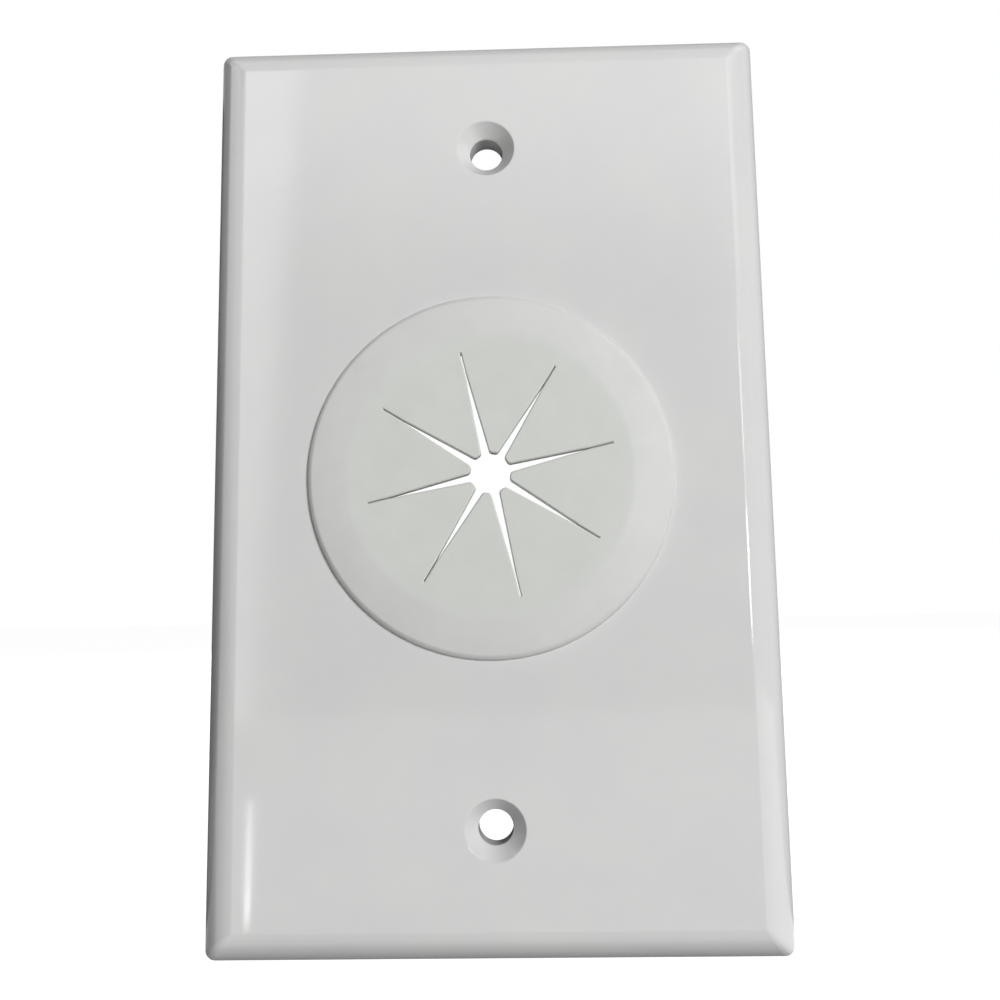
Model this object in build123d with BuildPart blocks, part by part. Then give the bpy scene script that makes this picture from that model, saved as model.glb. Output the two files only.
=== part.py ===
"""Single-gang wall plate with a soft, star-cut cable grommet.

Millimetres. The plate stands as it does on a wall: X to the right, Z up, the wall is the
plane Y = 0 and the front of the plate faces -Y. The origin is the centre of the plate's back.
"""

import os

from build123d import *

# Plate outline and section
plate_width = 69.85
plate_height = 114.3
plate_depth = 5.6
rim_height = 0.8
face_cut = 0.03
face_rim_round = 1.2
corner_radius = 1.25
face_thickness = 2.2
wall_thickness = 2.2

# Screw holes, at the spacing of a wall box's screw ears
screw_spacing = 83.34
screw_hole_diameter = 4.15
countersink_diameter = 7.2
countersink_angle = 82.0
boss_diameter = 9.0
boss_setback = 1.3

# Stiffening ribs on the back
rib_thickness = 1.2
rib_setback = 2.0

# Grommet: flange on the face, neck through the opening, bead behind the face
opening_diameter = 38.1
flange_diameter = 44.6
flange_edge = 0.82
flange_edge_draft = 0.36
flange_edge_break = 0.3
flange_edge_ease = 0.1
dome_width = 5.1
dome_rise = 0.78
dome_bulge = 0.08
dome_crease_round = 6.0
membrane_thickness = 1.3
neck_wall = 1.6
bead_overhang = 1.0
bead_thickness = 0.6
bead_taper = 1.4

# Star of slits in the grommet
finger_count = 8
star_turn = 13.0
star_centre_diameter = 4.85
finger_round = 0.5
slit_setback = 2.1
slit_tail = 2.5
slit_mouth = 1.2
slit_end = 0.1
slit_lip = 0.15

# Clearances between the two mouldings
neck_clearance = 0.15
bead_clearance = 0.1
ring_clearance = 0.5

# Planes seen from the front: local x is X, local y is Z, and heights count from the wall
wall = Plane.XZ
face = wall.offset(plate_depth)

# Heights and radii that follow from the sizes above
edge_radius = plate_depth + face_cut - rim_height
hollow_depth = plate_depth - face_thickness
opening_radius = opening_diameter / 2
flange_radius = flange_diameter / 2
neck_radius = opening_radius - neck_clearance
neck_inner_radius = neck_radius - neck_wall
bead_radius = opening_radius + bead_overhang
bead_front = hollow_depth - bead_clearance
bead_back = bead_front - bead_thickness
neck_back = bead_back - bead_taper
ring_inner_radius = bead_radius + ring_clearance
dome_radius = flange_radius - dome_width
slit_radius = dome_radius - slit_setback
slit_open_radius = slit_radius - slit_tail
dome_foot = plate_depth + flange_edge
grommet_top = dome_foot + dome_rise
membrane_back = grommet_top - membrane_thickness

# The hollow of the back, less what stays solid in it
with BuildPart() as back_hollow:
    with Locations((0, -hollow_depth / 2, 0)):
        Box(plate_width - 2 * wall_thickness, hollow_depth, plate_height - 2 * wall_thickness)
    fillet(back_hollow.edges().group_by(Axis.Y)[0], radius=hollow_depth - rim_height)
    # Ribs run from wall to wall through both bosses and stop at the ring round the opening
    with BuildSketch(wall.offset(rib_setback)):
        Rectangle(rib_thickness, plate_height)
        with GridLocations(0, screw_spacing / 2, 1, 3):
            Rectangle(plate_width, rib_thickness)
        Circle(ring_inner_radius + rib_thickness)
        Circle(ring_inner_radius, mode=Mode.SUBTRACT)
    extrude(amount=hollow_depth, mode=Mode.SUBTRACT)
    with BuildSketch(wall.offset(boss_setback)):
        with GridLocations(0, screw_spacing, 1, 2):
            Circle(boss_diameter / 2)
    extrude(amount=hollow_depth, mode=Mode.SUBTRACT)

with BuildPart() as wall_plate:
    # Front edges rounded, then the face cut flat just under the top of the rounds
    with Locations((0, -(plate_depth + face_cut) / 2, 0)):
        Box(plate_width, plate_depth + face_cut, plate_height)
    fillet(wall_plate.edges().group_by(Axis.Y)[0], radius=edge_radius)
    with Locations((0, -plate_depth / 2, 0)):
        Box(plate_width, plate_depth, plate_height, mode=Mode.INTERSECT)
    # The upright corners and the mitres above them are one soft edge, and so is the face's rim
    rising_edges = [edge for edge in wall_plate.edges() if edge.bounding_box().size.Y > face_cut]
    fillet(rising_edges, radius=corner_radius)
    fillet(wall_plate.faces().sort_by(Axis.Y)[0].edges(), radius=face_rim_round)
    add(back_hollow.part, mode=Mode.SUBTRACT)
    with Locations(face):
        Hole(opening_radius)
        with GridLocations(0, screw_spacing, 1, 2):
            CounterSinkHole(
                screw_hole_diameter / 2,
                countersink_diameter / 2,
                depth=plate_depth,
                counter_sink_angle=countersink_angle,
            )
wall_plate.part.label = "wall_plate"

# Half section of the grommet: local x is the radius, local y the height off the wall
half_section = Plane(origin=(0, 0, 0), x_dir=(1, 0, 0), z_dir=(0, 0, -1))
star_plane = Plane(wall.offset(neck_back).location * Rot(Z=star_turn))

with BuildPart() as cable_grommet:
    with BuildSketch(half_section) as section:
        with BuildLine():
            dome_start = (dome_radius, grommet_top)
            dome_end = (flange_radius - flange_edge_draft, dome_foot)
            Line((0, grommet_top), dome_start)
            SagittaArc(dome_start, dome_end, dome_bulge)
            Polyline(
                dome_end,
                (flange_radius, plate_depth),
                (neck_radius, plate_depth),
                (neck_radius, bead_front),
                (bead_radius, bead_front),
                (bead_radius, bead_back),
                (neck_radius, neck_back),
                (neck_inner_radius, neck_back),
                (neck_inner_radius, membrane_back),
                (0, membrane_back),
                (0, grommet_top),
            )
        make_face()
        # Above its drafted wall the flange's edge is broken twice, into three narrow cones
        flange_corner = section.vertices().sort_by(Axis.X)[-2]
        chamfer(flange_corner, length=flange_edge_break)
        break_ends = section.vertices().sort_by(Axis.X)[-3:-1]
        chamfer(break_ends, length=flange_edge_ease)
        dome_crease = section.vertices().group_by(Axis.Y)[-1].sort_by(Axis.X)
        fillet(dome_crease[-1], radius=dome_crease_round)
    revolve(axis=Axis.Y)
    with BuildSketch(star_plane) as star:
        Circle(star_centre_diameter / 2)
        with PolarLocations(0, finger_count):
            Polygon(
                (0, -slit_mouth / 2),
                (slit_open_radius, -slit_end / 2),
                (slit_radius, -slit_end / 2),
                (slit_radius, slit_end / 2),
                (slit_open_radius, slit_end / 2),
                (0, slit_mouth / 2),
                align=None,
            )
        fillet(star.vertices().group_by(SortBy.DISTANCE)[0], radius=finger_round)
    extrude(amount=grommet_top, mode=Mode.SUBTRACT)
    star_rim = cable_grommet.faces().sort_by(Axis.Y)[0].inner_wires()[0]
    chamfer(star_rim.edges(), length=slit_lip)
cable_grommet.part.label = "cable_grommet"

os.makedirs("parts", exist_ok=True)
export_step(wall_plate.part, "parts/wall_plate.step")
export_step(cable_grommet.part, "parts/cable_grommet.step")
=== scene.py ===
"""Grommet wall plate: finishes, studio and camera.

Metres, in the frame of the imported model: X to the right, Z up, the wall is the plane Y = 0
and the front of the plate faces -Y.
"""

import math

import bpy
from mathutils import Matrix, Vector


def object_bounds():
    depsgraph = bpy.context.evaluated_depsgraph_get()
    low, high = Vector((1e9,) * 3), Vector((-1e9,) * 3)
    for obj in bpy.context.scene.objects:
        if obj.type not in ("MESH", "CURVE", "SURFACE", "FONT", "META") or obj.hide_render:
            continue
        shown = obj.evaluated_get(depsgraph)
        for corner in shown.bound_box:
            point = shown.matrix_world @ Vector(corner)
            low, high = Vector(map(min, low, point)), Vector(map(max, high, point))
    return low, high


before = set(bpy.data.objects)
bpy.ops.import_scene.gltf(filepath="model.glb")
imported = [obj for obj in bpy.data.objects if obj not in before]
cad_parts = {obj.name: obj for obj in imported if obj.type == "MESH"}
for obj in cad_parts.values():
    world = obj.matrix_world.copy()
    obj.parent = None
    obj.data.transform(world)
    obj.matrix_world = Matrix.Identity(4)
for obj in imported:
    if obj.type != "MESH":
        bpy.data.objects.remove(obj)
cad_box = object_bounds()

MM = 0.001
WHITE = (1, 1, 1, 1)

# Nearly all of a noise lies between these two values
NOISE_LOW = 0.3
NOISE_HIGH = 0.7


def linear(hex_colour):
    """sRGB hex to a linear RGBA colour."""
    channels = [int(hex_colour[i:i + 2], 16) / 255 for i in (1, 3, 5)]
    return [c / 12.92 if c <= 0.04045 else ((c + 0.055) / 1.055) ** 2.4 for c in channels] + [1.0]


def add_node(tree, kind, settings=(), links=()):
    """Adds a node, sets its properties and sockets, and links its inputs, by name or by number."""
    node = tree.nodes.new(kind)
    for name, value in dict(settings).items():
        if isinstance(name, int) or name in node.inputs:
            node.inputs[name].default_value = value
        else:
            setattr(node, name, value)
    for socket, output in dict(links).items():
        tree.links.new(output, node.inputs[socket])
    return node


def new_material(name):
    material = bpy.data.materials.new(name)
    material.use_nodes = True
    return material


def millimetres(tree):
    """The piece's own coordinates in millimetres, so that a noise scale is one over a real size."""
    place = add_node(tree, "ShaderNodeTexCoord")
    scaled = add_node(
        tree, "ShaderNodeVectorMath",
        {"operation": "SCALE", "Scale": 1 / MM},
        {0: place.outputs["Object"]},
    )
    return scaled.outputs["Vector"]


def moulded_abs():
    """White ABS moulded in a polished tool.

    A clear mirror-like gloss over an even, neutral white. A large flat moulding sinks and
    pulls a little as it cools, so reflections in it bend slightly and their sharpness varies.
    """
    darker_white = "#D1D1D1"
    lighter_white = "#D4D4D3"
    refraction = 1.54
    best_polish = 0.05
    worst_polish = 0.09
    cloud_size = 9.0
    polish_size = 5.0
    wave_size = 14.0
    wave_height = 0.004
    edge_round = 0.25
    material = new_material("polished_moulded_abs")
    tree = material.node_tree
    shader = tree.nodes["Principled BSDF"]
    shader.inputs["IOR"].default_value = refraction
    place = millimetres(tree)
    cloud = add_node(
        tree, "ShaderNodeTexNoise",
        {"Scale": 1 / cloud_size, "Detail": 3.0, "Roughness": 0.55},
        {"Vector": place},
    )
    colour = add_node(tree, "ShaderNodeValToRGB", links={"Fac": cloud.outputs["Fac"]})
    colour.color_ramp.elements[0].position = NOISE_LOW
    colour.color_ramp.elements[0].color = linear(darker_white)
    colour.color_ramp.elements[1].position = NOISE_HIGH
    colour.color_ramp.elements[1].color = linear(lighter_white)
    polish = add_node(
        tree, "ShaderNodeTexNoise",
        {"Scale": 1 / polish_size, "Detail": 4.0, "Roughness": 0.6},
        {"Vector": place},
    )
    roughness = add_node(
        tree, "ShaderNodeMapRange",
        {"From Min": NOISE_LOW, "From Max": NOISE_HIGH, "To Min": best_polish, "To Max": worst_polish},
        {"Value": polish.outputs["Fac"]},
    )
    waves = add_node(
        tree, "ShaderNodeTexNoise",
        {"Scale": 1 / wave_size, "Detail": 1.0},
        {"Vector": place},
    )
    soft_edges = add_node(tree, "ShaderNodeBevel", {"samples": 6, "Radius": edge_round * MM})
    bump = add_node(
        tree, "ShaderNodeBump",
        {"Distance": wave_height * MM},
        {"Height": waves.outputs["Fac"], "Normal": soft_edges.outputs["Normal"]},
    )
    tree.links.new(colour.outputs["Color"], shader.inputs["Base Color"])
    tree.links.new(roughness.outputs["Result"], shader.inputs["Roughness"])
    tree.links.new(bump.outputs["Normal"], shader.inputs["Normal"])
    return material


def moulded_elastomer():
    """Soft thermoplastic elastomer from a spark-eroded tool.

    Satin and a shade greyer than the plate, with a fine even grain. The thin fingers look a
    little greener than the thick rim. The grain is really under 0.1 mm and is drawn coarser
    here so that it shows.
    """
    finger_tones = ("#C9CBC6", "#CDCFCA")
    rim_tones = ("#CBCCCA", "#CFD0CE")
    refraction = 1.42
    least_rough = 0.42
    most_rough = 0.52
    thin_radius = 14.0
    thick_radius = 19.5
    grain_size = 0.28
    grain_height = 0.006
    mottle_size = 4.0
    material = new_material("soft_moulded_elastomer")
    tree = material.node_tree
    shader = tree.nodes["Principled BSDF"]
    shader.inputs["IOR"].default_value = refraction
    place = millimetres(tree)
    mottle = add_node(
        tree, "ShaderNodeTexNoise",
        {"Scale": 1 / mottle_size, "Detail": 4.0, "Roughness": 0.6},
        {"Vector": place},
    )
    tones = []
    for dark, light in (finger_tones, rim_tones):
        tone = add_node(tree, "ShaderNodeValToRGB", links={"Fac": mottle.outputs["Fac"]})
        tone.color_ramp.elements[0].position = NOISE_LOW
        tone.color_ramp.elements[0].color = linear(dark)
        tone.color_ramp.elements[1].position = NOISE_HIGH
        tone.color_ramp.elements[1].color = linear(light)
        tones.append(tone.outputs["Color"])
    in_plane = add_node(
        tree, "ShaderNodeVectorMath",
        {"operation": "MULTIPLY", 1: (1, 0, 1)},
        {0: place},
    )
    radius = add_node(
        tree, "ShaderNodeVectorMath",
        {"operation": "LENGTH"},
        {0: in_plane.outputs["Vector"]},
    )
    thickening = add_node(
        tree, "ShaderNodeMapRange",
        {"From Min": thin_radius, "From Max": thick_radius},
        {"Value": radius.outputs["Value"]},
    )
    # A mix has sockets of one name for each kind of data, so those for colours go by number
    colour = add_node(
        tree, "ShaderNodeMix",
        {"data_type": "RGBA"},
        {0: thickening.outputs["Result"], 6: tones[0], 7: tones[1]},
    )
    grain = add_node(
        tree, "ShaderNodeTexNoise",
        {"Scale": 1 / grain_size, "Detail": 2.0, "Roughness": 0.5},
        {"Vector": place},
    )
    roughness = add_node(
        tree, "ShaderNodeMapRange",
        {"From Min": NOISE_LOW, "From Max": NOISE_HIGH, "To Min": least_rough, "To Max": most_rough},
        {"Value": grain.outputs["Fac"]},
    )
    bump = add_node(
        tree, "ShaderNodeBump",
        {"Distance": grain_height * MM},
        {"Height": grain.outputs["Fac"]},
    )
    tree.links.new(colour.outputs[2], shader.inputs["Base Color"])
    tree.links.new(roughness.outputs["Result"], shader.inputs["Roughness"])
    tree.links.new(bump.outputs["Normal"], shader.inputs["Normal"])
    return material


def dress(node_name, material):
    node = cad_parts[node_name]
    node.data.materials.clear()
    node.data.materials.append(material)


dress("wall_plate", moulded_abs())
dress("cable_grommet", moulded_elastomer())

# Camera: place, aim and roll found from the outline, the holes and the star in the picture
CAMERA_PLACE = Vector((3.43, -115.83, -16.10)) * MM
CAMERA_AIM = Vector((1.11, -5.60, -3.12)) * MM
CAMERA_ROLL = math.radians(0.9)
FOCAL_PIXELS = 920
FRAME_PIXELS = 1000
SENSOR = 36.0

camera_data = bpy.data.cameras.new("camera")
camera_data.sensor_width = SENSOR
camera_data.lens = FOCAL_PIXELS * SENSOR / FRAME_PIXELS
camera_data.clip_start = 1 * MM
camera = bpy.data.objects.new("camera", camera_data)
bpy.context.scene.collection.objects.link(camera)
look = (CAMERA_AIM - CAMERA_PLACE).to_track_quat("-Z", "Y").to_matrix()
look = look @ Matrix.Rotation(-CAMERA_ROLL, 3, "Z")
camera.matrix_world = Matrix.Translation(CAMERA_PLACE) @ look.to_4x4()
bpy.context.scene.camera = camera

# Studio: white all round to the eye and in reflections, with a dim fill for the shadows
FILL = 0.03
FLOOR_COLOUR = "#959595"
FLOOR_GLOW = 0.97
FLOOR_REACH = 3.0
FLAT = Matrix.Identity(3)
UPRIGHT = Matrix.Rotation(math.radians(90), 3, "X")
floor_z = cad_box[0][2]


def seen_directly(tree):
    """1 for rays that show the background itself: to the eye, in a gloss or through glass."""
    path = add_node(tree, "ShaderNodeLightPath")
    seen = path.outputs["Is Camera Ray"]
    for other in ("Is Glossy Ray", "Is Transmission Ray"):
        either = add_node(
            tree, "ShaderNodeMath",
            {"operation": "MAXIMUM"},
            {0: seen, 1: path.outputs[other]},
        )
        seen = either.outputs["Value"]
    return seen


def stage_sheet(name, centre, size, turn, material):
    """A flat sheet of the studio: its centre and size in metres, lying flat unless it is turned."""
    half_x, half_y = size[0] / 2, size[1] / 2
    corners = [(-half_x, -half_y, 0), (half_x, -half_y, 0), (half_x, half_y, 0), (-half_x, half_y, 0)]
    mesh = bpy.data.meshes.new(name)
    mesh.from_pydata(corners, [], [(0, 1, 2, 3)])
    mesh.materials.append(material)
    sheet = bpy.data.objects.new(name, mesh)
    bpy.context.scene.collection.objects.link(sheet)
    sheet.matrix_world = Matrix.Translation(centre) @ turn.to_4x4()
    return sheet


def card(name, centre, size, fades, glow=0.0, veil=0.0, turn=UPRIGHT):
    """A card, in millimetres, that shows only as a reflection.

    glow is its light and veil the share that it hides of what is behind it. Both rise from
    nothing over the shares of the card that fades gives, from its left, right, lower and
    upper edge.
    """
    left, right, lower, upper = fades
    material = new_material(name)
    tree = material.node_tree
    tree.nodes.clear()
    place = add_node(tree, "ShaderNodeTexCoord")
    axes = add_node(tree, "ShaderNodeSeparateXYZ", links={0: place.outputs["Generated"]})
    shade = None
    for axis, start, full in (("X", 0, left), ("X", 1, 1 - right), ("Y", 0, lower), ("Y", 1, 1 - upper)):
        edge = add_node(
            tree, "ShaderNodeMapRange",
            {"interpolation_type": "SMOOTHSTEP", "From Min": start, "From Max": full},
            {"Value": axes.outputs[axis]},
        )
        if shade is None:
            shade = edge.outputs["Result"]
            continue
        product = add_node(
            tree, "ShaderNodeMath",
            {"operation": "MULTIPLY"},
            {0: shade, 1: edge.outputs["Result"]},
        )
        shade = product.outputs["Value"]
    passed = add_node(tree, "ShaderNodeMapRange", {"To Min": 1.0, "To Max": 1 - veil}, {"Value": shade})
    behind = add_node(tree, "ShaderNodeBsdfTransparent", links={"Color": passed.outputs["Result"]})
    light = add_node(tree, "ShaderNodeEmission", {"Strength": glow}, {"Color": shade})
    both = add_node(tree, "ShaderNodeAddShader", links={0: behind.outputs[0], 1: light.outputs[0]})
    add_node(tree, "ShaderNodeOutputMaterial", links={"Surface": both.outputs[0]})
    sheet = stage_sheet(name, Vector(centre) * MM, Vector(size) * MM, turn, material)
    sheet.visible_camera = False
    sheet.visible_diffuse = False
    sheet.visible_transmission = False
    sheet.visible_shadow = False
    return sheet


def softbox(name, direction, distance, width, radiance):
    """A square soft lamp that faces the plate, from a direction seen from its middle."""
    data = bpy.data.lights.new(name, "AREA")
    data.shape = "SQUARE"
    data.size = width
    data.energy = radiance * math.pi * width ** 2
    lamp = bpy.data.objects.new(name, data)
    bpy.context.scene.collection.objects.link(lamp)
    way = Vector(direction).normalized()
    turn = (-way).to_track_quat("-Z", "Y").to_matrix()
    lamp.matrix_world = Matrix.Translation(way * distance) @ turn.to_4x4()
    lamp.visible_camera = False
    lamp.visible_glossy = False


world = bpy.data.worlds.new("studio")
bpy.context.scene.world = world
world.use_nodes = True
sky = world.node_tree
sky.nodes.clear()
fill_light = add_node(sky, "ShaderNodeBackground", {"Color": WHITE, "Strength": FILL})
white = add_node(sky, "ShaderNodeBackground", {"Color": WHITE, "Strength": 1.0})
either = add_node(
    sky, "ShaderNodeMixShader",
    links={0: seen_directly(sky), 1: fill_light.outputs[0], 2: white.outputs[0]},
)
add_node(sky, "ShaderNodeOutputWorld", links={"Surface": either.outputs[0]})

floor_material = new_material("pale_floor")
floor_tree = floor_material.node_tree
floor_tree.nodes.clear()
paint = add_node(floor_tree, "ShaderNodeBsdfDiffuse", {"Color": linear(FLOOR_COLOUR)})
strength = add_node(
    floor_tree, "ShaderNodeMath",
    {"operation": "MULTIPLY", 1: FLOOR_GLOW},
    {0: seen_directly(floor_tree)},
)
glow = add_node(
    floor_tree, "ShaderNodeEmission",
    {"Color": WHITE},
    {"Strength": strength.outputs["Value"]},
)
both = add_node(floor_tree, "ShaderNodeAddShader", links={0: paint.outputs[0], 1: glow.outputs[0]})
add_node(floor_tree, "ShaderNodeOutputMaterial", links={"Surface": both.outputs[0]})
stage_sheet("floor", Vector((0, 0, floor_z)), (2 * FLOOR_REACH, 2 * FLOOR_REACH), FLAT, floor_material)

# Cards in front stand at Y = FRONT or a little beyond it, and cards on the floor lie at LOW or a
# little higher, so that no two share a plane
FRONT = -250
LOW = floor_z / MM + 0.2
FACING_RIGHT = Matrix.Rotation(math.radians(90), 3, "Z") @ UPRIGHT
LEANING = Matrix.Rotation(math.radians(4), 3, "Y") @ UPRIGHT
ALONG_STREAK = Matrix.Rotation(math.radians(-16.1), 3, "Z")
HARD = 0.01
ALL_HARD = (HARD, HARD, HARD, HARD)

# Dark cards keep the rounded edges and the bores from mirroring white: black ones behind the plate,
# to its left, at its foot and far to its right, and grey ones beside and above the one behind. A
# pair in front, one upright and one on the floor, draws the darker belt across the face's middle.
behind_plate = card("black_card", (-8, 6, 0), (84, 114), (0.08, HARD, HARD, HARD), veil=1.0)
behind_plate.visible_diffuse = True
card("black_left", (-146, 6.5, -6), (207, 102), (0.3, 0.03, HARD, 0.4), veil=0.8)
card("black_side", (300, -125, 110), (262, 334), (HARD, HARD, HARD, 0.15), veil=1.0, turn=FACING_RIGHT)
card("black_foot", (-62, 3, LOW), (195, 20), (0.5, HARD, 0.1, HARD), veil=0.72, turn=FLAT)
card("grey_side", (184, 6, 0), (300, 114), ALL_HARD, glow=0.4, veil=1.0)
card("grey_card", (0, 7, 207), (1200, 500), ALL_HARD, glow=0.42, veil=1.0)
card("black_front", (94, FRONT - 6, 66), (412, 247), (0.08, HARD, HARD, 0.4), veil=0.8)
card("black_floor", (94, -170, LOW), (412, 172), (0.08, HARD, HARD, 0.67), veil=0.25, turn=FLAT)

# Bright cards that the polished face and its rounds mirror: overhead, along the left in two steps,
# at the upper right, strips that draw the line on the right edge, a wall and a floor at the left,
# and a slim strip on that floor that draws the streak at the lower left
card("overhead_card", (50, FRONT, 263), (420, 314), (0.05, 0.05, 0.3, 0.05), glow=0.9)
card("left_card", (-256, FRONT - 1, 101), (342, 317), (0.67, 0.03, 0.02, 0.02), glow=0.98, turn=LEANING)
card("upper_left_card", (-258, FRONT - 2, 129), (342, 261), (0.67, 0.03, 0.69, 0.02), glow=0.8, turn=LEANING)
card("right_card", (120, FRONT - 3, 155), (91, 210), (0.2, 0.3, 0.19, 0.02), glow=0.4)
card("edge_strip", (136, FRONT - 4, -2), (76, 68), (0.25, 0.5, 0.3, 0.3), glow=22.0)
card("upper_edge_strip", (136, FRONT - 5, 66), (76, 96), (0.25, 0.5, 0.4, 0.4), glow=7.0)
card("left_wall", (-300, -110, 90), (280, 420), (0.2, 0.25, 0.72, 0.02), glow=1.5, turn=FACING_RIGHT)
card("left_floor", (-188, -62, LOW + 0.1), (260, 376), (0.3, 0.06, 0.02, 0.4), glow=0.3, turn=ALONG_STREAK)
card("floor_strip", (-44.6, -60, LOW + 0.2), (1.2, 94), (0.3, 0.3, 0.1, 0.15), glow=8.5, turn=ALONG_STREAK)

# Lamps: the key in front, at the right and above, and one behind, at the left and above
softbox("key_softbox", (0.55, -0.83, 0.22), distance=1.0, width=0.31, radiance=34.6)
softbox("back_softbox", (-0.62, 0.74, 0.28), distance=0.9, width=0.35, radiance=26.0)

# Two small flags just inside the back ends of the screw holes keep the back lamp out of the bores
SCREW_SPACING = 83.34
FLAG_DEPTH = -1.45
FLAG_SIZE = (5, 5)
for name, height in (("upper_flag", SCREW_SPACING / 2), ("lower_flag", -SCREW_SPACING / 2)):
    flag = card(name, (0, FLAG_DEPTH, height), FLAG_SIZE, ALL_HARD, veil=1.0)
    flag.visible_shadow = True

bpy.context.scene.view_settings.view_transform = "Standard"
